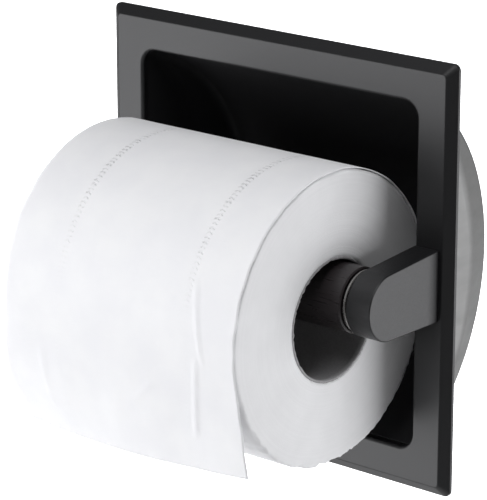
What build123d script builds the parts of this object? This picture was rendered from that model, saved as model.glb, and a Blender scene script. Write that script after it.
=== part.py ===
from build123d import *
import os

# Recessed toilet paper holder with its roll. Millimetres, +X right, +Y into the wall, +Z up.
# The origin is the centre of the wall opening, in the plane of the finished wall.

os.makedirs("parts", exist_ok=True)

# Face plate: a square frame with a bevelled outer edge.
plate_size = 160.0
plate_thick = 4.0
plate_corner = 2.5
rim_height = 1.2
bevel_width = 3.6
face_corner = 1.6
bevel_softening = 1.0
opening_width = 128.6
opening_height = 129.0
opening_corner = 6.0
opening_softening = 1.4

# Recess pan: a drum drawn from sheet, cut off by the wall plane, with a flange behind the plate.
# Its sides are flat as far as a curved crease, and taper from there to the back.
pan_sheet = 0.9
flange_size = 148.0
flange_corner = 8.0
flange_gap = 0.1
drum_axis_y = -20.5
drum_radius = 67.5
crease_axis_y = -54.0
crease_radius = 84.0
drum_back_half_width = 58.0
crease_rounding = 12.0
drum_edge_rounding = 4.0

# Roller axis, which the two arms carry.
axis_y = -31.4
axis_z = -1.35

# Arms: flat slabs with a full round front end, screwed on from behind.
arm_inner_x = 64.4
arm_thick = 10.5
arm_end_radius = 12.14
arm_root_z = -0.44
arm_root_height = 26.6
arm_edge = 0.5
socket_depth = 5.4
pin_radius = 4.0
pin_reach = 5.0
running_gap = 0.06

# Countersunk arm screws, two to an arm.
arm_screw_radius = 2.0
arm_screw_head_radius = 3.75
arm_screw_length = 13.0
arm_screw_spacing = 14.0
thread_gap = 0.05
screw_hole_radius = 2.2

# Clamp strap that grips the back of the wall board, with its two machine screws and nuts.
wall_thick = 12.7
clamp_sheet = 1.5
clamp_width = 56.0
clamp_web_y = 58.0
clamp_web_half = 38.0
clamp_leg_z = 67.5
clamp_tip_z = 75.0
clamp_bend = 3.0
clamp_screw_x = 20.0
clamp_screw_radius = 2.5
clamp_screw_end_y = 78.0
clamp_head_radius = 4.6
clamp_head_height = 2.6
clamp_seat_gap = 0.2
clamp_hole_radius = 2.75
nut_across_corners = 9.2
nut_height = 4.0

# Telescoping roller: the right half is the outer tube, the left half slides inside it.
roller_radius = 12.0
outer_bore = 11.0
outer_start_x = -18.0
inner_bore = 9.7
inner_start_x = -56.0
inner_end_x = 8.0
roller_end_x = 61.8
cap_plug_length = 9.0
ring_radius = 11.4
ring_thick = 1.2
spring_radius = 6.8
spring_wire = 0.6
spring_pitch = 4.2
spring_seat_thick = 2.0

# Paper: the roll on its core, and its outer turn, which comes over the top and hangs at the front.
roll_width = 107.0
roll_radius = 53.55
core_bore = 21.85
core_wall = 0.9
roll_y = -36.2
roll_z = -9.05
turn_gap = 0.3
turn_thick = 0.4
turn_start_angle = 35.0
tail_leave_angle = 184.0
tail_end_y = -81.3
tail_end_z = -56.4

wall_plane = Plane.XZ
front_faces_y = -plate_thick


def plane_at(y):
    """A plane across the holder at depth y. It faces the front, so a positive extrusion comes forward."""
    return wall_plane.offset(-y)


def turned(outline, centre_y, centre_z):
    """A solid of revolution about a line along X, from (x, radius) points."""
    section = Plane(origin=(0, centre_y, centre_z), x_dir=(1, 0, 0), z_dir=(0, -1, 0))
    with BuildSketch(section) as profile:
        with BuildLine():
            Polyline(*outline, close=True)
        make_face()
    revolve(profile.sketch, axis=Axis((0, centre_y, centre_z), (1, 0, 0)))


def circles_cut(points, radius, y, amount):
    """Round holes along Y at the given (x, z) points, cut forward from depth y."""
    with BuildSketch(plane_at(y)) as holes:
        with Locations(*points):
            Circle(radius)
    extrude(holes.sketch, amount=amount, mode=Mode.SUBTRACT)


def save(piece, name):
    piece.part.label = name
    export_step(piece.part, f"parts/{name}.step")


arm_screw_x = arm_inner_x + arm_thick / 2
arm_screw_points = [
    (side * arm_screw_x, arm_root_z + step * arm_screw_spacing / 2) for side in (-1, 1) for step in (-1, 1)
]
clamp_screw_points = [(-clamp_screw_x, 0), (clamp_screw_x, 0)]


def arm_screw_countersinks():
    """Countersunk through holes for the arm screws, with their wide end at the wall plane."""
    facing_wall = Plane(origin=(0, 0, arm_root_z), x_dir=(1, 0, 0), z_dir=(0, 1, 0))
    with Locations(facing_wall):
        with GridLocations(2 * arm_screw_x, arm_screw_spacing, 2, 2):
            CounterSinkHole(screw_hole_radius, arm_screw_head_radius + 0.1, depth=10, counter_sink_angle=90)


# ---- face plate ----
with BuildPart() as face_plate:
    with BuildSketch(plane_at(0)):
        RectangleRounded(plate_size, plate_size, plate_corner)
    extrude(amount=rim_height)
    face_size = plate_size - 2 * bevel_width
    with BuildSketch(plane_at(-rim_height)):
        RectangleRounded(plate_size, plate_size, plate_corner)
    with BuildSketch(plane_at(front_faces_y)):
        RectangleRounded(face_size, face_size, face_corner)
    loft()
    with BuildSketch(plane_at(0)):
        RectangleRounded(opening_width, opening_height, opening_corner)
    extrude(amount=plate_thick, mode=Mode.SUBTRACT)
    front = face_plate.faces().sort_by(Axis.Y)[0]
    fillet(front.outer_wire().edges(), bevel_softening)
    front = face_plate.faces().sort_by(Axis.Y)[0]
    fillet(front.inner_wires()[0].edges(), opening_softening)
    rebate_size = flange_size + 2 * flange_gap
    with BuildSketch(plane_at(0)):
        RectangleRounded(rebate_size, rebate_size, flange_corner + flange_gap)
    extrude(amount=pan_sheet, mode=Mode.SUBTRACT)
    arm_screw_countersinks()
save(face_plate, "face_plate")


# ---- recess pan ----
def drum(skin):
    """The drum behind the opening, larger than the pan's inside by skin all over."""
    side_x = opening_width / 2 + skin
    back_x = drum_back_half_width + skin
    crease_y = crease_axis_y + crease_radius
    back_y = drum_axis_y + drum_radius
    with BuildPart() as body:
        with BuildSketch(Plane.XY):
            with BuildLine():
                Polyline(
                    (-side_x, crease_axis_y),
                    (-side_x, crease_y),
                    (-back_x, back_y + skin),
                    (back_x, back_y + skin),
                    (side_x, crease_y),
                    (side_x, crease_axis_y),
                    close=True,
                )
            make_face()
        revolve(axis=Axis((0, crease_axis_y, 0), (1, 0, 0)))
        rims = body.edges().filter_by(GeomType.CIRCLE)
        fillet([rim for rim in rims if abs(rim.radius - crease_radius) < 0.5], crease_rounding)
        with BuildSketch(Plane.YZ.offset(-side_x)):
            with Locations((drum_axis_y, 0)):
                Circle(drum_radius + skin)
        extrude(amount=2 * side_x, mode=Mode.INTERSECT)
        with BuildSketch(plane_at(-pan_sheet)):
            RectangleRounded(opening_width + 2 * skin, opening_height + 2 * skin, opening_corner + skin)
        extrude(amount=-2 * back_y, mode=Mode.INTERSECT)
        corners = body.edges().filter_by(lambda e: (e @ 0.5).Y > back_y - 6 and abs((e @ 0.5).X) > 50)
        fillet(corners, drum_edge_rounding + skin)
    return body.part


pan_outside = drum(pan_sheet)
pan_inside = drum(0)
with BuildPart() as recess_pan:
    with BuildSketch(plane_at(0)):
        RectangleRounded(flange_size, flange_size, flange_corner)
    extrude(amount=pan_sheet)
    add(pan_outside)
    add(pan_inside, mode=Mode.SUBTRACT)
    with BuildSketch(plane_at(0)):
        RectangleRounded(opening_width, opening_height, opening_corner)
    extrude(amount=pan_sheet, mode=Mode.SUBTRACT)
    pan_back_y = drum_axis_y + drum_radius
    circles_cut(clamp_screw_points, clamp_hole_radius, pan_back_y + 2 * pan_sheet, 4 * pan_sheet)
    arm_screw_countersinks()
save(recess_pan, "recess_pan")


# ---- arms ----
def arm(side):
    """One arm. Side is 1 for the right arm and -1 for the left."""
    with BuildSketch(Plane.YZ.offset(side * arm_inner_x)) as outline:
        with Locations((axis_y, axis_z)):
            Circle(arm_end_radius)
        with Locations((front_faces_y - 0.5, arm_root_z)):
            Rectangle(1, arm_root_height)
        make_hull()
    extrude(outline.sketch, amount=side * arm_thick)


def finish_arm(body, side):
    """Break the edges of the two flat sides, then cut the pin socket and the two screw holes."""
    rims = body.faces().filter_by(Axis.X).edges()
    fillet(rims.filter_by(lambda e: (e @ 0.5).Y < front_faces_y - 0.01), arm_edge)
    with BuildSketch(Plane.YZ.offset(side * arm_inner_x)) as socket:
        with Locations((axis_y, axis_z)):
            Circle(pin_radius + running_gap)
    extrude(socket.sketch, amount=side * socket_depth, mode=Mode.SUBTRACT)
    own_points = [p for p in arm_screw_points if p[0] * side > 0]
    circles_cut(own_points, arm_screw_radius, front_faces_y, arm_screw_length - plate_thick + 1)


with BuildPart() as left_arm:
    arm(-1)
    finish_arm(left_arm, -1)
save(left_arm, "left_arm")

with BuildPart() as right_arm:
    arm(1)
    finish_arm(right_arm, 1)
save(right_arm, "right_arm")

# ---- arm screws ----
with BuildPart() as one_arm_screw:
    shank = arm_screw_radius - thread_gap
    head_depth = arm_screw_head_radius - shank
    with BuildSketch(Plane.XZ):
        with BuildLine():
            Polyline(
                (0, 0),
                (arm_screw_head_radius, 0),
                (shank, -head_depth),
                (shank, 0.4 - arm_screw_length),
                (shank - 0.4, -arm_screw_length),
                (0, -arm_screw_length),
                close=True,
            )
        make_face()
    revolve(axis=Axis.Z)
    with BuildSketch(Plane.XY):
        Rectangle(3.8, 0.9)
        Rectangle(0.9, 3.8)
    extrude(amount=-1.3, mode=Mode.SUBTRACT)

with BuildPart() as arm_screws:
    with Locations(*[Plane(origin=(x, 0, z), z_dir=(0, 1, 0)).location for x, z in arm_screw_points]):
        add(one_arm_screw.part)
save(arm_screws, "arm_screws")

# ---- clamp strap and nuts ----
with BuildPart() as rear_clamp:
    middle = clamp_sheet / 2
    with BuildSketch(Plane.YZ.offset(-clamp_width / 2)):
        with BuildLine():
            FilletPolyline(
                (wall_thick + middle, clamp_tip_z),
                (wall_thick + middle, clamp_leg_z),
                (clamp_web_y + middle, clamp_web_half),
                (clamp_web_y + middle, -clamp_web_half),
                (wall_thick + middle, -clamp_leg_z),
                (wall_thick + middle, -clamp_tip_z),
                radius=clamp_bend,
            )
        trace(line_width=clamp_sheet)
    extrude(amount=clamp_width)
    circles_cut(clamp_screw_points, clamp_hole_radius, clamp_web_y + 2 * clamp_sheet, 4 * clamp_sheet)
save(rear_clamp, "rear_clamp")

with BuildPart() as clamp_nuts:
    with BuildSketch(plane_at(clamp_web_y + clamp_sheet)):
        with Locations(*clamp_screw_points):
            RegularPolygon(nut_across_corners / 2, 6)
            Circle(clamp_screw_radius + thread_gap, mode=Mode.SUBTRACT)
    extrude(amount=-nut_height)
save(clamp_nuts, "clamp_nuts")


# ---- clamp screws ----
def clamp_screw(x):
    """A pan-head machine screw along Y through the pan's back, with a cross recess."""
    seat_y = pan_back_y - clamp_seat_gap
    with BuildSketch(plane_at(seat_y)) as head:
        with Locations((x, 0)):
            Circle(clamp_head_radius)
    extrude(head.sketch, amount=clamp_head_height)
    with BuildSketch(plane_at(seat_y)) as shank_end:
        with Locations((x, 0)):
            Circle(clamp_screw_radius - thread_gap)
    extrude(shank_end.sketch, amount=seat_y - clamp_screw_end_y)
    with BuildSketch(plane_at(seat_y - clamp_head_height)) as recess:
        with Locations((x, 0)):
            Rectangle(5.2, 1.1)
            Rectangle(1.1, 5.2)
    extrude(recess.sketch, amount=-1.6, mode=Mode.SUBTRACT)


def finish_clamp_screw(body):
    """Round the head and break the edge of the tip."""
    rims = body.edges().filter_by(GeomType.CIRCLE).sort_by(Axis.Y)
    fillet([e for e in rims if abs(e.radius - clamp_head_radius) < 0.01][:1], 1.2)
    chamfer(body.faces().sort_by(Axis.Y)[-1].edges(), 0.5)


with BuildPart() as left_clamp_screw:
    clamp_screw(-clamp_screw_x)
    finish_clamp_screw(left_clamp_screw)
save(left_clamp_screw, "left_clamp_screw")

with BuildPart() as right_clamp_screw:
    clamp_screw(clamp_screw_x)
    finish_clamp_screw(right_clamp_screw)
save(right_clamp_screw, "right_clamp_screw")

# ---- roller, right half ----
edge = 0.5
cap_start_x = roller_end_x - cap_plug_length
with BuildPart() as roller_outer_tube:
    turned(
        [
            (outer_start_x, outer_bore),
            (outer_start_x, roller_radius - edge),
            (outer_start_x + edge, roller_radius),
            (roller_end_x - edge, roller_radius),
            (roller_end_x, roller_radius - edge),
            (roller_end_x, outer_bore),
        ],
        axis_y,
        axis_z,
    )
save(roller_outer_tube, "roller_outer_tube")


def pin_outline(shoulder_x, side):
    """The (x, radius) points of an end pin that starts at shoulder_x and ends inside the arm."""
    tip_x = arm_inner_x + pin_reach
    return [
        (side * shoulder_x, pin_radius),
        (side * (tip_x - 0.8), pin_radius),
        (side * tip_x, pin_radius - 0.8),
        (side * tip_x, 0),
    ]


with BuildPart() as roller_right_cap:
    turned(
        [(cap_start_x, 0), (cap_start_x, outer_bore), (roller_end_x, outer_bore)]
        + pin_outline(roller_end_x, 1),
        axis_y,
        axis_z,
    )
save(roller_right_cap, "roller_right_cap")


def end_ring(side):
    """The polished ring on an end pin, midway in the gap between roller and arm, with rounded edges."""
    middle_x = (roller_end_x + arm_inner_x) / 2
    round_off = ring_thick / 4
    inner = middle_x - ring_thick / 2
    outer = middle_x + ring_thick / 2
    turned(
        [
            (side * inner, pin_radius + thread_gap),
            (side * inner, ring_radius - round_off),
            (side * (inner + round_off), ring_radius),
            (side * (outer - round_off), ring_radius),
            (side * outer, ring_radius - round_off),
            (side * outer, pin_radius + thread_gap),
        ],
        axis_y,
        axis_z,
    )


with BuildPart() as right_end_ring:
    end_ring(1)
save(right_end_ring, "right_end_ring")

# ---- roller, left half ----
with BuildPart() as roller_inner_tube:
    inner_tube_radius = outer_bore - running_gap
    turned(
        [
            (inner_start_x, inner_bore),
            (inner_start_x, inner_tube_radius),
            (inner_end_x - edge, inner_tube_radius),
            (inner_end_x, inner_tube_radius - edge),
            (inner_end_x, inner_bore),
        ],
        axis_y,
        axis_z,
    )
save(roller_inner_tube, "roller_inner_tube")

with BuildPart() as roller_left_cap:
    turned(
        [
            (inner_start_x + cap_plug_length, 0),
            (inner_start_x + cap_plug_length, inner_bore),
            (inner_start_x, inner_bore),
            (inner_start_x, roller_radius - edge),
            (inner_start_x - edge, roller_radius),
            (edge - roller_end_x, roller_radius),
            (-roller_end_x, roller_radius - edge),
        ]
        + pin_outline(roller_end_x, -1),
        axis_y,
        axis_z,
    )
save(roller_left_cap, "roller_left_cap")

with BuildPart() as left_end_ring:
    end_ring(-1)
save(left_end_ring, "left_end_ring")

with BuildPart() as spring_seat:
    seat_start_x = inner_end_x - spring_seat_thick
    turned(
        [(seat_start_x, 0), (seat_start_x, inner_bore), (inner_end_x, inner_bore), (inner_end_x, 0)],
        axis_y,
        axis_z,
    )
save(spring_seat, "spring_seat")

with BuildPart() as roller_spring:
    spring_start_x = inner_end_x + spring_wire
    spring_length = cap_start_x - spring_wire - spring_start_x
    with BuildLine():
        coil = Helix(
            pitch=spring_pitch,
            height=spring_length,
            radius=spring_radius,
            center=(spring_start_x, axis_y, axis_z),
            direction=(1, 0, 0),
        )
    with BuildSketch(Plane(origin=coil @ 0, z_dir=coil % 0)):
        Circle(spring_wire)
    sweep(is_frenet=True)
save(roller_spring, "roller_spring")

# ---- paper ----
with BuildPart() as paper_core:
    turned(
        [
            (-roll_width / 2, core_bore),
            (-roll_width / 2, core_bore + core_wall),
            (roll_width / 2, core_bore + core_wall),
            (roll_width / 2, core_bore),
        ],
        roll_y,
        roll_z,
    )
save(paper_core, "paper_core")

with BuildPart() as paper_roll:
    turned(
        [
            (-roll_width / 2, core_bore + core_wall),
            (-roll_width / 2, roll_radius - edge),
            (edge - roll_width / 2, roll_radius),
            (roll_width / 2 - edge, roll_radius),
            (roll_width / 2, roll_radius - edge),
            (roll_width / 2, core_bore + core_wall),
        ],
        roll_y,
        roll_z,
    )
save(paper_roll, "paper_roll")

with BuildPart() as paper_tail:
    turn_radius = roll_radius + turn_gap + turn_thick / 2
    with BuildSketch(Plane.YZ.offset(-roll_width / 2)):
        with BuildLine():
            turn = CenterArc(
                (roll_y, roll_z), turn_radius, turn_start_angle, tail_leave_angle - turn_start_angle
            )
            TangentArc(turn @ 1, (tail_end_y, tail_end_z), tangent=turn % 1)
        trace(line_width=turn_thick)
    extrude(amount=roll_width)
save(paper_tail, "paper_tail")
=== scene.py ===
import math

import bmesh
import bpy
from mathutils import Matrix, Vector, noise


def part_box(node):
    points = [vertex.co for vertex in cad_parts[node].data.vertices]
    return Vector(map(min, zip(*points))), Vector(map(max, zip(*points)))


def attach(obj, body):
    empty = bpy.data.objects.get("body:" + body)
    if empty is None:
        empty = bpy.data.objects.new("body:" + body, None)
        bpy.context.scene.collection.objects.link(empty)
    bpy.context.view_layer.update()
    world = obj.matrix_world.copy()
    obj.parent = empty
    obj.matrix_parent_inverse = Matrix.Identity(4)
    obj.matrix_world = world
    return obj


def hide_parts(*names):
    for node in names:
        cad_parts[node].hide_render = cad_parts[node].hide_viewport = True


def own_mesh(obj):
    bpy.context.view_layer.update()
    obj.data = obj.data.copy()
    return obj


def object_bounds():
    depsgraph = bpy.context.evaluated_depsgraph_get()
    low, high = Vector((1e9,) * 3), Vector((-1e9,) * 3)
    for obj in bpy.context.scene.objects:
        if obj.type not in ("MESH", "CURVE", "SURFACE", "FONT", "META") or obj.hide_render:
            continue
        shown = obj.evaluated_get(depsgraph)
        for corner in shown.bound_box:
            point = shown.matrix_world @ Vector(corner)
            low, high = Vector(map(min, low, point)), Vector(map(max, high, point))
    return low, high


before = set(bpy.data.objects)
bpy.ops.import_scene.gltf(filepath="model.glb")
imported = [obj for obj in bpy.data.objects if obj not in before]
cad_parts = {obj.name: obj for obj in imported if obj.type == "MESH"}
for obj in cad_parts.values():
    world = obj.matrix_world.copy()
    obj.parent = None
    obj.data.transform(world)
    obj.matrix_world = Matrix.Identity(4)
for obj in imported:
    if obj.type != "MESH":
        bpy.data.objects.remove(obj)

# A recessed toilet paper holder: black powder-coated steel, a drawn pan, a sprung roller and a loaded roll.
# Metres throughout, in the frame of the CAD model: +X right, +Y into the wall, +Z up.

bl_info = {
    "name": "Toilet Paper Holder",
    "version": (1, 0, 0),
    "blender": (4, 5, 0),
    "location": "3D View > Sidebar > Holder",
    "description": "Finishes, paper and studio for a recessed toilet paper holder",
    "category": "Object",
}

MM = 0.001
CAD_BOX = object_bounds()
ROLL_LOW, ROLL_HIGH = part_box("paper_roll")
CORE_LOW, CORE_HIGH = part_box("paper_core")
SPRING_LOW, SPRING_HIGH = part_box("roller_spring")

ROLL_AXIS = Vector((0, (ROLL_LOW[1] + ROLL_HIGH[1]) / 2, (ROLL_LOW[2] + ROLL_HIGH[2]) / 2))
ROLL_RADIUS = (ROLL_HIGH[1] - ROLL_LOW[1]) / 2
ROLL_HALF_WIDTH = (ROLL_HIGH[0] - ROLL_LOW[0]) / 2
CORE_RADIUS = (CORE_HIGH[1] - CORE_LOW[1]) / 2
CORE_WALL = 0.9 * MM
PAN_CENTRE = (0.0, -20.5 * MM, 0.0)
SPRING_LENGTH = SPRING_HIGH[0] - SPRING_LOW[0]
SPRING_WIRE_RADIUS = 0.6 * MM
BOND_LINES_MM = (-27.8, 30.9)


# ---- settings ----
class HolderFinish(bpy.types.PropertyGroup):
    coat: bpy.props.StringProperty(
        name="Powder coat", description="sRGB hex of the black coat", default="0e0e10"
    )
    pan_paint: bpy.props.StringProperty(
        name="Pan paint", description="sRGB hex of the pan's inside", default="151517"
    )
    pan_steel: bpy.props.StringProperty(
        name="Pan steel", description="sRGB hex of the pan's outside", default="828281"
    )
    roller: bpy.props.StringProperty(
        name="Roller", description="sRGB hex of the roller", default="262223"
    )
    paper: bpy.props.StringProperty(
        name="Paper", description="sRGB hex of the tissue", default="f0f0f1"
    )
    board: bpy.props.StringProperty(
        name="Core board", description="sRGB hex of the core's board", default="a6a5a6"
    )
    coat_roughness: bpy.props.FloatProperty(
        name="Coat roughness", description="Roughness of the powder coat", default=0.42, min=0, max=1
    )


class PaperShape(bpy.types.PropertyGroup):
    sheet_thick: bpy.props.FloatProperty(
        name="Sheet thickness", description="Two plies of tissue", default=0.28 * MM, unit="LENGTH"
    )
    sheet_gap: bpy.props.FloatProperty(
        name="Sheet gap", description="From the roll to the outer turn's middle",
        default=0.5 * MM, unit="LENGTH",
    )
    start_angle: bpy.props.FloatProperty(
        name="Start angle", description="Where the outer turn starts, from the wall side",
        default=math.radians(16), subtype="ANGLE",
    )
    left_leave: bpy.props.FloatProperty(
        name="Left leave angle", description="Where the left edge leaves the roll",
        default=math.radians(172), subtype="ANGLE",
    )
    right_leave: bpy.props.FloatProperty(
        name="Right leave angle", description="Where the right edge leaves the roll",
        default=math.radians(191), subtype="ANGLE",
    )
    left_drop: bpy.props.FloatProperty(
        name="Left drop", description="Loose length at the left edge", default=60 * MM, unit="LENGTH"
    )
    right_drop: bpy.props.FloatProperty(
        name="Right drop", description="Loose length at the right edge", default=36 * MM, unit="LENGTH"
    )


class Studio(bpy.types.PropertyGroup):
    lens: bpy.props.FloatProperty(name="Lens", description="Focal length", default=209.03, unit="CAMERA")
    yaw: bpy.props.FloatProperty(
        name="Yaw", description="Camera turned to the left", default=math.radians(40.042), subtype="ANGLE"
    )
    pitch: bpy.props.FloatProperty(
        name="Pitch", description="Camera turned down", default=math.radians(17.224), subtype="ANGLE"
    )
    camera_place: bpy.props.FloatVectorProperty(
        name="Camera place", description="Where the camera stands",
        default=(0.64864, -0.79330, 0.31496), unit="LENGTH",
    )
    floor_drop: bpy.props.FloatProperty(
        name="Floor drop", description="From the holder down to the floor", default=0.75, unit="LENGTH"
    )


# ---- small helpers ----
def srgb(text):
    """The linear colour of an sRGB hex value."""
    values = [int(text[i:i + 2], 16) / 255 for i in (0, 2, 4)]
    return [v / 12.92 if v <= 0.04045 else ((v + 0.055) / 1.055) ** 2.4 for v in values] + [1.0]


def add_node(tree, kind, settings=None, inputs=None, place=(0, 0)):
    """One node with its properties set. Each input is set to a value or linked to an output socket."""
    made = tree.nodes.new(kind)
    made.location = place
    for name, value in (settings or {}).items():
        setattr(made, name, value)
    for name, value in (inputs or {}).items():
        if isinstance(value, bpy.types.NodeSocket):
            tree.links.new(value, made.inputs[name])
        else:
            made.inputs[name].default_value = value
    return made


def new_material(name):
    """An empty material with its output and principled shader, as (material, tree, shader)."""
    material = bpy.data.materials.new(name)
    material.use_nodes = True
    tree = material.node_tree
    tree.nodes.clear()
    shader = add_node(tree, "ShaderNodeBsdfPrincipled")
    add_node(tree, "ShaderNodeOutputMaterial", inputs={"Surface": shader.outputs[0]}, place=(300, 0))
    return material, tree, shader


def set_shader(shader, **values):
    for name, value in values.items():
        shader.inputs[name.replace("_", " ")].default_value = value


def math_node(tree, operation, *values):
    """A Math node's output, from values or sockets."""
    return add_node(
        tree, "ShaderNodeMath", {"operation": operation}, {i: v for i, v in enumerate(values)}
    ).outputs[0]


def vector_node(tree, operation, first, second):
    """A Vector Math node on two vectors, each a socket or a value."""
    return add_node(tree, "ShaderNodeVectorMath", {"operation": operation}, {0: first, 1: second})


def roll_coordinates(tree, place):
    """Where a point is from the middle of the roll, as a node with X, Y and Z outputs."""
    centred = vector_node(tree, "SUBTRACT", place, tuple(ROLL_AXIS)).outputs[0]
    return add_node(tree, "ShaderNodeSeparateXYZ", inputs={"Vector": centred})


def mix_colours(tree, factor, first, second):
    """A colour between two, each a socket or a linear colour."""
    made = add_node(tree, "ShaderNodeMix", {"data_type": "RGBA"})
    for index, value in ((0, factor), (6, first), (7, second)):
        if isinstance(value, bpy.types.NodeSocket):
            tree.links.new(value, made.inputs[index])
        else:
            made.inputs[index].default_value = value
    return made.outputs[2]


def remap(tree, value, low, high, to_low, to_high):
    return add_node(
        tree,
        "ShaderNodeMapRange",
        inputs={"Value": value, "From Min": low, "From Max": high, "To Min": to_low, "To Max": to_high},
    ).outputs["Result"]


def stretched(tree, vector, scale):
    """A vector with its parts scaled, so that noise on it runs out in one direction."""
    return add_node(tree, "ShaderNodeMapping", inputs={"Vector": vector, "Scale": scale}).outputs[0]


def grain(tree, vector, size_mm, detail=3, roughness=0.5):
    """Noise with features about size_mm across."""
    return add_node(
        tree,
        "ShaderNodeTexNoise",
        inputs={"Vector": vector, "Scale": 1 / (size_mm * MM), "Detail": detail, "Roughness": roughness},
    ).outputs["Fac"]


def bump(tree, shader, height, distance_mm, strength=1.0):
    made = add_node(
        tree, "ShaderNodeBump", inputs={"Height": height, "Distance": distance_mm * MM, "Strength": strength}
    )
    tree.links.new(made.outputs[0], shader.inputs["Normal"])


def dress(node_name, material):
    """Give a CAD node's object one material."""
    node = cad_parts[node_name]
    if not node.material_slots:
        node.data.materials.append(material)
    for place in node.material_slots:
        place.material = material


def new_object(name, mesh_builder, material, smooth=True):
    """An object at the origin whose mesh is what mesh_builder makes in a bmesh."""
    shape = bmesh.new()
    mesh_builder(shape)
    mesh = bpy.data.meshes.new(name)
    shape.to_mesh(mesh)
    shape.free()
    mesh.materials.append(material)
    for face in mesh.polygons:
        face.use_smooth = smooth
    made = bpy.data.objects.new(name, mesh)
    bpy.context.scene.collection.objects.link(made)
    return made


def smoothstep(value):
    value = min(1.0, max(0.0, value))
    return value * value * (3 - 2 * value)


# ---- finishes ----
def powder_coat(finish):
    """Fine-texture black powder coat on steel: a satin skin whose orange peel breaks up highlights."""
    material, tree, shader = new_material("satin_black_powder_coat")
    place = add_node(tree, "ShaderNodeTexCoord").outputs["Object"]
    cloud = grain(tree, place, 40, 2)
    speck = grain(tree, place, 0.45, 2)
    tint = srgb(finish.coat)
    lighter = [c * 1.12 for c in tint[:3]] + [1]
    tree.links.new(mix_colours(tree, cloud, tint, lighter), shader.inputs["Base Color"])
    tree.links.new(
        remap(tree, speck, 0.3, 0.7, finish.coat_roughness - 0.04, finish.coat_roughness + 0.05),
        shader.inputs["Roughness"],
    )
    set_shader(shader, IOR=1.5)
    bump(tree, shader, speck, 0.012)
    return material


def pan_finish(finish):
    """Drawn sheet steel, bare outside with faint die marks, and sprayed matte black inside."""
    material, tree, shader = new_material("drawn_steel_black_inside")
    coordinates = add_node(tree, "ShaderNodeTexCoord")
    place = coordinates.outputs["Object"]
    outward = vector_node(tree, "SUBTRACT", place, PAN_CENTRE).outputs[0]
    facing = vector_node(tree, "DOT_PRODUCT", outward, coordinates.outputs["Normal"]).outputs["Value"]
    bare = math_node(tree, "GREATER_THAN", facing, 0.0)
    streak = grain(tree, stretched(tree, place, (1.0, 0.25, 1.0)), 9, 4, 0.6)
    fine = grain(tree, place, 0.5, 2)
    steel = srgb(finish.pan_steel)
    darker = [c * 0.86 for c in steel[:3]] + [1]
    metal = mix_colours(tree, remap(tree, streak, 0.3, 0.7, 0, 1), steel, darker)
    tree.links.new(mix_colours(tree, bare, srgb(finish.pan_paint), metal), shader.inputs["Base Color"])
    tree.links.new(math_node(tree, "MULTIPLY", bare, 0.6), shader.inputs["Metallic"])
    rough_bare = remap(tree, streak, 0.3, 0.7, 0.46, 0.56)
    paint_roughness = 0.55
    change = math_node(tree, "MULTIPLY", bare, math_node(tree, "SUBTRACT", rough_bare, paint_roughness))
    tree.links.new(math_node(tree, "ADD", change, paint_roughness), shader.inputs["Roughness"])
    bump(tree, shader, fine, 0.01)
    return material


def plated(name, hex_text, roughness, spangle_mm=None):
    """Zinc on steel: bright plate, or a hot dip whose crystals show as spangle."""
    material, tree, shader = new_material(name)
    place = add_node(tree, "ShaderNodeTexCoord").outputs["Object"]
    base = srgb(hex_text)
    if spangle_mm:
        cells = add_node(
            tree, "ShaderNodeTexVoronoi", inputs={"Vector": place, "Scale": 1 / (spangle_mm * MM)}
        ).outputs["Color"]
        tone = add_node(tree, "ShaderNodeSeparateColor", inputs={"Color": cells}).outputs[0]
    else:
        tone = grain(tree, place, 2, 3)
    darker = [c * 0.8 for c in base[:3]] + [1]
    tree.links.new(mix_colours(tree, tone, darker, base), shader.inputs["Base Color"])
    tree.links.new(remap(tree, tone, 0, 1, roughness - 0.06, roughness + 0.08), shader.inputs["Roughness"])
    set_shader(shader, Metallic=1.0)
    bump(tree, shader, grain(tree, place, 0.4, 2), 0.006)
    return material


def black_oxide():
    """Blackened steel, as on machine screws: dark and a little oily."""
    material, tree, shader = new_material("black_oxide_steel")
    place = add_node(tree, "ShaderNodeTexCoord").outputs["Object"]
    speck = grain(tree, place, 0.5, 3)
    tree.links.new(mix_colours(tree, speck, srgb("1c1c1e"), srgb("2c2b2b")), shader.inputs["Base Color"])
    set_shader(shader, Metallic=0.6, Roughness=0.4)
    bump(tree, shader, speck, 0.008)
    return material


def roller_finish(finish):
    """Semi-gloss black baked enamel on a thin tube, with faint drawing lines along it."""
    material, tree, shader = new_material("black_enamel_tube")
    place = add_node(tree, "ShaderNodeTexCoord").outputs["Object"]
    lines = grain(tree, stretched(tree, place, (0.06, 1.0, 1.0)), 0.5, 2)
    tint = srgb(finish.roller)
    lighter = [c * 1.25 for c in tint[:3]] + [1]
    tree.links.new(mix_colours(tree, lines, tint, lighter), shader.inputs["Base Color"])
    tree.links.new(remap(tree, lines, 0.3, 0.7, 0.26, 0.36), shader.inputs["Roughness"])
    set_shader(shader, IOR=1.5)
    bump(tree, shader, lines, 0.006)
    return material


def polished_ring():
    """Polished plated steel, turned; its fine marks are noise in its roughness and tone."""
    material, tree, shader = new_material("polished_plated_steel")
    place = add_node(tree, "ShaderNodeTexCoord").outputs["Object"]
    marks = grain(tree, place, 0.8, 2)
    tree.links.new(remap(tree, marks, 0.3, 0.7, 0.2, 0.3), shader.inputs["Roughness"])
    tree.links.new(mix_colours(tree, marks, srgb("8b8987"), srgb("9a9896")), shader.inputs["Base Color"])
    set_shader(shader, Metallic=1.0)
    return material


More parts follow.
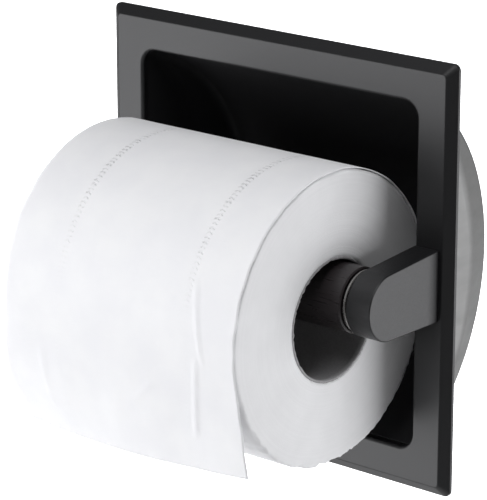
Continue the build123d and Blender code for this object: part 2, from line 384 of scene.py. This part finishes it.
def natural_nylon():
    """Moulded nylon in its own milky colour."""
    material, tree, shader = new_material("natural_nylon")
    place = add_node(tree, "ShaderNodeTexCoord").outputs["Object"]
    cloud = grain(tree, place, 3, 3)
    tree.links.new(mix_colours(tree, cloud, srgb("d9d6c8"), srgb("e6e3d8")), shader.inputs["Base Color"])
    set_shader(shader, Roughness=0.45, IOR=1.53)
    bump(tree, shader, cloud, 0.01)
    return material


def tissue(finish):
    """Two-ply creped tissue: soft matte white, crepe ridges across the web and loose fibres.

    The web's UV map runs across it in U and along it in V, in metres."""
    material, tree, shader = new_material("creped_tissue")
    place = add_node(tree, "ShaderNodeTexCoord")
    web = place.outputs["UV"]
    white = srgb(finish.paper)
    cloud = grain(tree, place.outputs["Object"], 14, 4)
    shade = [white[0] * 0.965, white[1] * 0.965, white[2] * 0.975, 1]
    colour = mix_colours(tree, remap(tree, cloud, 0.35, 0.65, 0, 1), white, shade)
    crepe = grain(tree, stretched(tree, web, (0.25, 1.0, 1.0)), 0.9, 4, 0.6)
    height = math_node(tree, "MULTIPLY", crepe, 0.05)
    cut = add_node(tree, "ShaderNodeSeparateXYZ", inputs={"Vector": web})
    # How strongly the ply-bond pattern shows: uneven from dot to dot, and fading out along the web from 94 mm
    # to 144 mm.
    pressed = remap(tree, grain(tree, web, 2.5, 2), 0.38, 0.6, 0.35, 1)
    fading = remap(tree, cut.outputs["Y"], 94 * MM, 144 * MM, 1, 0.06)
    bond_fade = math_node(tree, "MULTIPLY", pressed, fading)
    wander = math_node(tree, "MULTIPLY", grain(tree, web, 1.6, 1), 1.2 * MM)
    uneven = math_node(tree, "ADD", cut.outputs["Y"], wander)
    for line_mm in BOND_LINES_MM:
        pattern = math_node(tree, "MULTIPLY", ply_bond(tree, cut.outputs["X"], uneven, line_mm), bond_fade)
        height = math_node(tree, "SUBTRACT", height, math_node(tree, "MULTIPLY", pattern, 0.5))
        # Painted shade: the pressings are darkened in the paper's colour, as well as bumped, to stand for the
        # shade in their dents.
        shaded = math_node(tree, "MULTIPLY", pattern, 0.3)
        colour = mix_colours(tree, shaded, colour, [c * 0.7 for c in white[:3]] + [1])
    tree.links.new(colour, shader.inputs["Base Color"])
    set_shader(shader, Roughness=0.92, IOR=1.4, Sheen_Weight=0.15, Sheen_Roughness=0.6)
    set_shader(shader, Subsurface_Weight=0.2, Subsurface_Radius=(0.004, 0.004, 0.004), Subsurface_Scale=0.3)
    bump(tree, shader, height, 1.0)
    return material


def ply_bond(tree, across, along, line_mm):
    """Two rows of short slanted pressings, one pair every 1.9 mm, that hold the plies together."""
    pitch, half_width, row_gap = 1.9 * MM, 0.55 * MM, 1.5 * MM
    total = None
    for row, slant in ((-1, 0.35), (1, -0.35)):
        offset = math_node(tree, "SUBTRACT", across, line_mm * MM + row * row_gap / 2)
        near = math_node(tree, "LESS_THAN", math_node(tree, "ABSOLUTE", offset), half_width)
        slid = math_node(tree, "ADD", along, math_node(tree, "MULTIPLY", offset, slant))
        phase = math_node(tree, "FRACT", math_node(tree, "DIVIDE", slid, pitch))
        dot = math_node(tree, "SUBTRACT", 1.0, math_node(tree, "MULTIPLY", math_node(
            tree, "ABSOLUTE", math_node(tree, "SUBTRACT", phase, 0.5)), 4.0))
        dot = math_node(tree, "MULTIPLY", math_node(tree, "MAXIMUM", dot, 0.0), near)
        total = dot if total is None else math_node(tree, "ADD", total, dot)
    return total


def roll_paper(finish):
    """The roll seen end-on: hundreds of turns of tissue, so fine rings with soft uneven tones."""
    material, tree, shader = new_material("wound_tissue")
    place = add_node(tree, "ShaderNodeTexCoord").outputs["Object"]
    cut = roll_coordinates(tree, place)
    radius = math_node(
        tree,
        "SQRT",
        math_node(
            tree,
            "ADD",
            math_node(tree, "MULTIPLY", cut.outputs["Y"], cut.outputs["Y"]),
            math_node(tree, "MULTIPLY", cut.outputs["Z"], cut.outputs["Z"]),
        ),
    )
    ring_place = add_node(tree, "ShaderNodeCombineXYZ", inputs={"X": radius}).outputs[0]
    rings = grain(tree, ring_place, 0.9, 4, 0.7)
    cloud = grain(tree, place, 12, 4)
    fibre = grain(tree, place, 0.6, 3)
    white = srgb(finish.paper)
    shade = [c * 0.93 for c in white[:3]] + [1]
    ring_part = math_node(tree, "MULTIPLY", rings, 0.5)
    tone = math_node(tree, "ADD", ring_part, math_node(tree, "MULTIPLY", cloud, 0.5))
    tree.links.new(
        mix_colours(tree, remap(tree, tone, 0.35, 0.65, 0, 1), white, shade), shader.inputs["Base Color"]
    )
    set_shader(shader, Roughness=0.95, IOR=1.4, Sheen_Weight=0.1)
    height = math_node(
        tree, "ADD", math_node(tree, "MULTIPLY", rings, 0.12), math_node(tree, "MULTIPLY", fibre, 0.04)
    )
    bump(tree, shader, height, 1.0)
    return material


def core_board(finish):
    """Spirally wound grey board, with the seam of its outer ply and loose fibres."""
    material, tree, shader = new_material("wound_grey_board")
    place = add_node(tree, "ShaderNodeTexCoord").outputs["Object"]
    cut = roll_coordinates(tree, place)
    angle = math_node(tree, "ARCTAN2", cut.outputs["Z"], cut.outputs["Y"])
    turn = math_node(tree, "DIVIDE", angle, 2 * math.pi)
    advance = math_node(tree, "DIVIDE", cut.outputs["X"], 62 * MM)
    spiral = math_node(tree, "FRACT", math_node(tree, "ADD", turn, advance))
    seam = math_node(tree, "LESS_THAN", spiral, 0.012)
    fibre = grain(tree, place, 0.7, 5, 0.7)
    board = srgb(finish.board)
    darker = [c * 0.75 for c in board[:3]] + [1]
    colour = mix_colours(tree, remap(tree, fibre, 0.3, 0.7, 0, 1), darker, board)
    tree.links.new(
        mix_colours(tree, seam, colour, [c * 0.5 for c in board[:3]] + [1]), shader.inputs["Base Color"]
    )
    set_shader(shader, Roughness=0.9, IOR=1.4)
    relief = math_node(tree, "MULTIPLY", fibre, 0.05)
    height = math_node(tree, "SUBTRACT", relief, math_node(tree, "MULTIPLY", seam, 0.3))
    bump(tree, shader, height, 1.0)
    return material


# ---- paper ----
def loose_heading(share, along):
    """The sheet's slope from straight down, in radians, positive towards the wall.

    share is 0 at the left edge and 1 at the right; along is the distance below where it leaves the roll."""
    shape = bpy.context.scene.holder_paper
    leave = shape.left_leave + (shape.right_leave - shape.left_leave) * share
    left = (1 - share) ** 1.15
    straighten = math.radians(8) * smoothstep(along / (16 * MM))
    curl = math.radians(30) * smoothstep((along - 22 * MM) / (26 * MM))
    return leave - math.pi + left * (straighten + curl)


def sheet_lines(columns, step):
    """The outer turn and hanging end, as a list of (place, distance) points for each column from the left."""
    shape = bpy.context.scene.holder_paper
    radius = ROLL_RADIUS + shape.sheet_gap
    lines = []
    for column in range(columns + 1):
        share = column / columns
        x = -ROLL_HALF_WIDTH + 2 * ROLL_HALF_WIDTH * share
        leave = shape.left_leave + (shape.right_leave - shape.left_leave) * share
        drop = shape.left_drop + (shape.right_drop - shape.left_drop) * share
        turned = (leave - shape.start_angle) * radius
        total = turned + drop
        count = round((shape.right_leave - shape.start_angle) * radius / step + shape.right_drop / step)
        points = []
        y = z = 0.0
        heading_at = turned
        for row in range(count + 1):
            distance = total * row / count
            if distance <= turned:
                angle = shape.start_angle + distance / radius
                y = ROLL_AXIS.y + radius * math.cos(angle)
                z = ROLL_AXIS.z + radius * math.sin(angle)
                heading_at = distance
            else:
                if heading_at < turned:
                    y = ROLL_AXIS.y + radius * math.cos(leave)
                    z = ROLL_AXIS.z + radius * math.sin(leave)
                    heading_at = turned
                slope = loose_heading(share, (heading_at + distance) / 2 - turned)
                y += math.sin(slope) * (distance - heading_at)
                z -= math.cos(slope) * (distance - heading_at)
                heading_at = distance
            points.append((Vector((x, y, z)), distance))
        lines.append(points)
    return lines


# Each crease: its upper end's x and z, its lower end's x and z, its height and its half-width, all in mm.
CREASES_MM = (
    (33.9, 12.0, 39.5, -13.5, 0.45, 0.9),
    (36.4, -14.0, 33.0, -43.0, 0.55, 1.0),
    (15.6, -26.0, 7.0, -35.0, 0.30, 1.4),
    (-36.0, -25.0, -33.0, -47.0, 0.28, 1.6),
)


def crease_height(x, z, front):
    """How far a pinch in the hanging end stands out, in metres."""
    if not front:
        return 0.0
    height = 0.0
    for x_top, z_top, x_low, z_low, deep, wide in CREASES_MM:
        share = (z_top - z / MM) / (z_top - z_low)
        if -0.1 < share < 1.1:
            middle = x_top + (x_low - x_top) * share
            fade = smoothstep(share * 5 + 0.5) * smoothstep((1 - share) * 5 + 0.5)
            offset = (x / MM - middle) / wide
            height += deep * MM * fade * math.exp(-offset * offset) * (1 if offset < 0 else 0.55)
    return height


def build_sheet(shape):
    """The outer turn of paper and its loose end, as a grid bent to its lines."""
    columns, step = 106, 1.0 * MM
    lines = sheet_lines(columns, step)
    rows = len(lines[0]) - 1
    bmesh.ops.create_grid(shape, x_segments=columns, y_segments=rows, size=0.5, calc_uvs=True)
    web = shape.loops.layers.uv.verify()
    spots = {}
    for vert in shape.verts:
        column = round((vert.co.x + 0.5) * columns)
        row = round((vert.co.y + 0.5) * rows)
        place, distance = lines[column][row]
        before = lines[column][max(row - 1, 0)][0]
        after = lines[column][min(row + 1, rows)][0]
        travel = (after - before).normalized()
        outward = Vector((0, travel.z, -travel.y))
        front = place.y < ROLL_AXIS.y and place.z < 20 * MM
        ripple = noise.noise(Vector((place.x / (19 * MM), distance / (31 * MM), 2.3))) * 0.25 * MM
        ripple += noise.noise(Vector((place.x / (6 * MM), distance / (9 * MM), 5.1))) * 0.06 * MM
        loose = smoothstep((distance - lines[column][rows][1] + 55 * MM) / (40 * MM))
        lift = max(ripple * (0.35 + loose * 1.4), -0.15 * MM) + crease_height(place.x, place.z, front)
        spots[vert] = (place.x, distance)
        rim = smoothstep((abs(place.x) - ROLL_HALF_WIDTH + 4 * MM) / (4 * MM))
        wave = noise.noise(Vector((distance / (7 * MM), math.copysign(3, place.x), 0.7))) * 0.5 * MM * rim
        vert.co = place + outward * lift + Vector((wave, 0, 0))
    for face in shape.faces:
        for loop in face.loops:
            loop[web].uv = spots[loop.vert]
    bmesh.ops.recalc_face_normals(shape, faces=shape.faces)
    if sum((f.normal.dot(f.calc_center_median() - ROLL_AXIS) for f in shape.faces)) < 0:
        bmesh.ops.reverse_faces(shape, faces=shape.faces)


def spin_round(shape, outline, steps):
    """Turn an outline of (x, radius) points about the roll's axis, and close its seam."""
    verts = [shape.verts.new((x, ROLL_AXIS.y, ROLL_AXIS.z + radius)) for x, radius in outline]
    edges = [shape.edges.new(pair) for pair in zip(verts, verts[1:] + verts[:1])]
    bmesh.ops.spin(
        shape, geom=verts + edges, cent=ROLL_AXIS, axis=(1, 0, 0),
        angle=2 * math.pi, steps=steps, use_merge=True,
    )
    bmesh.ops.recalc_face_normals(shape, faces=shape.faces)


def build_roll(shape):
    """The wound paper: ends that stand in and out by a few turns, and a rim that isn't quite round."""
    ring_step = 1.1 * MM
    count = int((ROLL_RADIUS - CORE_RADIUS) / ring_step)
    outline = []
    for side in (-1, 1):
        radii = [CORE_RADIUS + (ROLL_RADIUS - CORE_RADIUS) * i / count for i in range(count + 1)]
        if side == 1:
            radii.reverse()
        for radius in radii:
            uneven = noise.noise(Vector((radius / (2.6 * MM), side * 7.0, 0.4))) * 0.22 * MM
            edge = 0.2 * MM if radius > ROLL_RADIUS - 0.1 * MM else 0.0
            outline.append((side * (ROLL_HALF_WIDTH - 0.1 * MM - abs(uneven) - edge), radius))
        if side == -1:
            outline += [(end * (ROLL_HALF_WIDTH - 4 * MM), ROLL_RADIUS) for end in (-1, 1)]
    spin_round(shape, outline, 256)
    for vert in shape.verts:
        away = Vector((0, vert.co.y - ROLL_AXIS.y, vert.co.z - ROLL_AXIS.z))
        rim = smoothstep((away.length - ROLL_RADIUS + 6 * MM) / (6 * MM))
        swell = noise.noise(Vector((away.normalized().y * 2.2, away.normalized().z * 2.2, vert.co.x * 9)))
        notch = noise.noise(Vector((away.y / (4 * MM), away.z / (4 * MM), math.copysign(5, vert.co.x))))
        at_end = abs(vert.co.x) > ROLL_HALF_WIDTH - 2 * MM
        bare = smoothstep(-3 * away.z / ROLL_RADIUS) if at_end else 0.0
        vert.co += away.normalized() * (swell * 0.25 - 0.12 - abs(notch) * 1.8 * bare) * MM * rim


def build_core(shape):
    """The board tube, with ends that are cut a little ragged."""
    inner, outer = CORE_RADIUS - CORE_WALL, CORE_RADIUS
    half = ROLL_HALF_WIDTH
    outline = [(-half, inner), (-half + 2 * MM, inner), (half - 2 * MM, inner), (half, inner)]
    outline += [(half, outer), (-half, outer)]
    spin_round(shape, outline, 160)
    for vert in shape.verts:
        if abs(vert.co.x) > half - 1 * MM:
            ragged = noise.noise(Vector((vert.co.y, vert.co.z, 0)) / (1.2 * MM)) * 0.5 * MM - 0.1 * MM
            vert.co.x += ragged * math.copysign(1, vert.co.x)


# ---- spring ----
def build_spring(shape):
    """The wound wire, whose last turn at each end closes on the one before."""
    wire = SPRING_WIRE_RADIUS
    radius = (SPRING_HIGH[1] - SPRING_LOW[1]) / 2 - wire
    middle_y = (SPRING_LOW[1] + SPRING_HIGH[1]) / 2
    middle_z = (SPRING_LOW[2] + SPRING_HIGH[2]) / 2
    turns, closed_pitch = 12, 2.1 * wire
    open_pitch = (SPRING_LENGTH - 2 * wire - 2 * closed_pitch) / (turns - 2)
    bmesh.ops.create_grid(shape, x_segments=10, y_segments=36 * turns, size=0.5)
    for vert in shape.verts:
        section = (vert.co.x + 0.5) * 2 * math.pi
        turn = (vert.co.y + 0.5) * turns
        closed_turns = min(turn, 1) + max(turn - turns + 1, 0)
        along = closed_pitch * closed_turns + open_pitch * (turn - closed_turns)
        out = radius + wire * math.cos(section)
        angle = turn * 2 * math.pi
        vert.co = (
            SPRING_LOW[0] + wire + along + wire * math.sin(section),
            middle_y + out * math.cos(angle),
            middle_z + out * math.sin(angle),
        )
    bmesh.ops.remove_doubles(shape, verts=shape.verts, dist=0.001 * MM)
    bmesh.ops.holes_fill(shape, edges=[edge for edge in shape.edges if edge.is_boundary], sides=20)
    bmesh.ops.recalc_face_normals(shape, faces=shape.faces)


# ---- operators ----
class HOLDER_OT_metalwork(bpy.types.Operator):
    """Finish the plate, pan, arms, clamp and screws"""

    bl_idname = "holder.metalwork"
    bl_label = "Finish metalwork"

    def execute(self, context):
        finish = context.scene.holder_finish
        coat = powder_coat(finish)
        for name in ("face_plate", "left_arm", "right_arm"):
            dress(name, coat)
        dress("recess_pan", pan_finish(finish))
        bright = plated("bright_zinc_plate", "b9bbbd", 0.32)
        for name in ("arm_screws", "clamp_nuts"):
            dress(name, bright)
        dress("rear_clamp", plated("galvanised_sheet", "a3a6a8", 0.42, spangle_mm=7))
        dark = black_oxide()
        for name in ("left_clamp_screw", "right_clamp_screw"):
            dress(name, dark)
        return {"FINISHED"}


class HOLDER_OT_roller(bpy.types.Operator):
    """Finish the sprung roller and its end rings"""

    bl_idname = "holder.roller"
    bl_label = "Finish roller"

    def execute(self, context):
        enamel = roller_finish(context.scene.holder_finish)
        for name in ("roller_outer_tube", "roller_right_cap", "roller_inner_tube", "roller_left_cap"):
            dress(name, enamel)
        ring = polished_ring()
        for name in ("right_end_ring", "left_end_ring"):
            dress(name, ring)
        spring = new_object("coil_spring", build_spring, plated("spring_steel_wire", "8e8f91", 0.3))
        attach(spring, "roller_outer")
        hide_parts("roller_spring")
        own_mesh(spring)
        dress("spring_seat", natural_nylon())
        return {"FINISHED"}


class HOLDER_OT_roll(bpy.types.Operator):
    """Make the wound paper and its board core"""

    bl_idname = "holder.roll"
    bl_label = "Make paper roll"

    def execute(self, context):
        finish = context.scene.holder_finish
        roll = new_object("wound_roll", build_roll, roll_paper(finish))
        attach(roll, "roll")
        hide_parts("paper_roll")
        core = new_object("board_core", build_core, core_board(finish))
        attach(core, "roll")
        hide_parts("paper_core")
        return {"FINISHED"}


class HOLDER_OT_sheet(bpy.types.Operator):
    """Make the roll's outer turn with its hanging end"""

    bl_idname = "holder.sheet"
    bl_label = "Make loose sheet"

    def execute(self, context):
        shape = context.scene.holder_paper
        sheet = new_object("loose_sheet", build_sheet, tissue(context.scene.holder_finish))
        ply = sheet.modifiers.new("two_ply", "SOLIDIFY")
        ply.thickness = shape.sheet_thick
        ply.offset = 0
        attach(sheet, "holder")
        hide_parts("paper_tail")
        return {"FINISHED"}


def area_light(name, place, target, size, power):
    """A soft box at a place, turned to face a target."""
    lamp = bpy.data.lights.new(name, "AREA")
    lamp.shape = "RECTANGLE"
    lamp.size, lamp.size_y = size
    lamp.energy = power
    lamp.color = (0.975, 0.98, 1.0)
    made = bpy.data.objects.new(name, lamp)
    made.location = place
    made.rotation_euler = (Vector(target) - Vector(place)).to_track_quat("-Z", "Y").to_euler()
    bpy.context.scene.collection.objects.link(made)
    return made


class HOLDER_OT_stage(bpy.types.Operator):
    """Make the camera, floor, soft lights and surroundings"""

    bl_idname = "holder.stage"
    bl_label = "Make stage"

    def execute(self, context):
        studio = context.scene.holder_studio
        lens = bpy.data.cameras.new("camera")
        lens.lens = studio.lens
        lens.clip_end = 50
        camera = bpy.data.objects.new("camera", lens)
        camera.location = studio.camera_place
        camera.rotation_euler = (math.pi / 2 - studio.pitch, 0, studio.yaw)
        context.scene.collection.objects.link(camera)
        context.scene.camera = camera
        context.scene.view_settings.view_transform = "Standard"

        floor_material, tree, shader = new_material("pale_floor")
        cloud = grain(tree, add_node(tree, "ShaderNodeTexCoord").outputs["Object"], 400, 2)
        tree.links.new(mix_colours(tree, cloud, srgb("f6f6f6"), srgb("ffffff")), shader.inputs["Base Color"])
        set_shader(shader, Roughness=0.9)

        def build_floor(shape):
            level = CAD_BOX[0][2] - studio.floor_drop
            bmesh.ops.create_grid(
                shape, x_segments=1, y_segments=1, size=6, matrix=Matrix.Translation((0, 0, level))
            )

        floor = new_object("floor", build_floor, floor_material, smooth=False)

        world = bpy.data.worlds.new("studio")
        context.scene.world = world
        world.use_nodes = True
        tree = world.node_tree
        tree.nodes.clear()
        seen = add_node(tree, "ShaderNodeBackground", inputs={"Color": (1, 1, 1, 1), "Strength": 1.0})
        fill = add_node(tree, "ShaderNodeBackground", inputs={"Color": (1, 1, 1, 1), "Strength": 0.15})
        path = add_node(tree, "ShaderNodeLightPath")
        both = add_node(
            tree,
            "ShaderNodeMixShader",
            inputs={0: path.outputs["Is Camera Ray"], 1: fill.outputs[0], 2: seen.outputs[0]},
        )
        add_node(tree, "ShaderNodeOutputWorld", inputs={"Surface": both.outputs[0]})

        area_light("key", (-0.62, -0.76, -0.2), (0, 0, 0), (1.05, 0.9), 10.5)
        area_light("side", (0.93, 0.52, -0.15), (0, -0.03, 0), (1.1, 0.8), 9.5)
        area_light("top", (0.1, -0.46, 1.0), (0, -0.03, 0), (0.5, 0.9), 7.6)
        beyond = Vector((-math.sin(studio.yaw), math.cos(studio.yaw), 0)) * 4.0
        over_floor = camera.location + beyond
        over_floor.z = 0.1
        wash = area_light("floor_wash", over_floor, over_floor - Vector((0, 0, 1)), (1.4, 3.4), 80)
        wash.rotation_euler = (0, 0, studio.yaw)
        return {"FINISHED"}


class HOLDER_PT_panel(bpy.types.Panel):
    bl_idname = "HOLDER_PT_panel"
    bl_label = "Toilet Paper Holder"
    bl_space_type = "VIEW_3D"
    bl_region_type = "UI"
    bl_category = "Holder"

    def draw(self, context):
        scene = context.scene
        for group in (scene.holder_finish, scene.holder_paper, scene.holder_studio):
            for name in group.__annotations__:
                self.layout.prop(group, name)
        for operator in OPERATORS:
            self.layout.operator(operator.bl_idname)


OPERATORS = (HOLDER_OT_stage, HOLDER_OT_metalwork, HOLDER_OT_roller, HOLDER_OT_roll, HOLDER_OT_sheet)
GROUPS = {"holder_finish": HolderFinish, "holder_paper": PaperShape, "holder_studio": Studio}


def register():
    for name, group in GROUPS.items():
        bpy.utils.register_class(group)
        setattr(bpy.types.Scene, name, bpy.props.PointerProperty(type=group))
    for operator in OPERATORS:
        bpy.utils.register_class(operator)
    bpy.utils.register_class(HOLDER_PT_panel)


def unregister():
    bpy.utils.unregister_class(HOLDER_PT_panel)
    for operator in reversed(OPERATORS):
        bpy.utils.unregister_class(operator)
    for name, group in GROUPS.items():
        delattr(bpy.types.Scene, name)
        bpy.utils.unregister_class(group)


def main():
    register()
    for operator in OPERATORS:
        group, name = operator.bl_idname.split(".")
        getattr(getattr(bpy.ops, group), name)()
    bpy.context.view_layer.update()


if __name__ == "__main__":
    main()
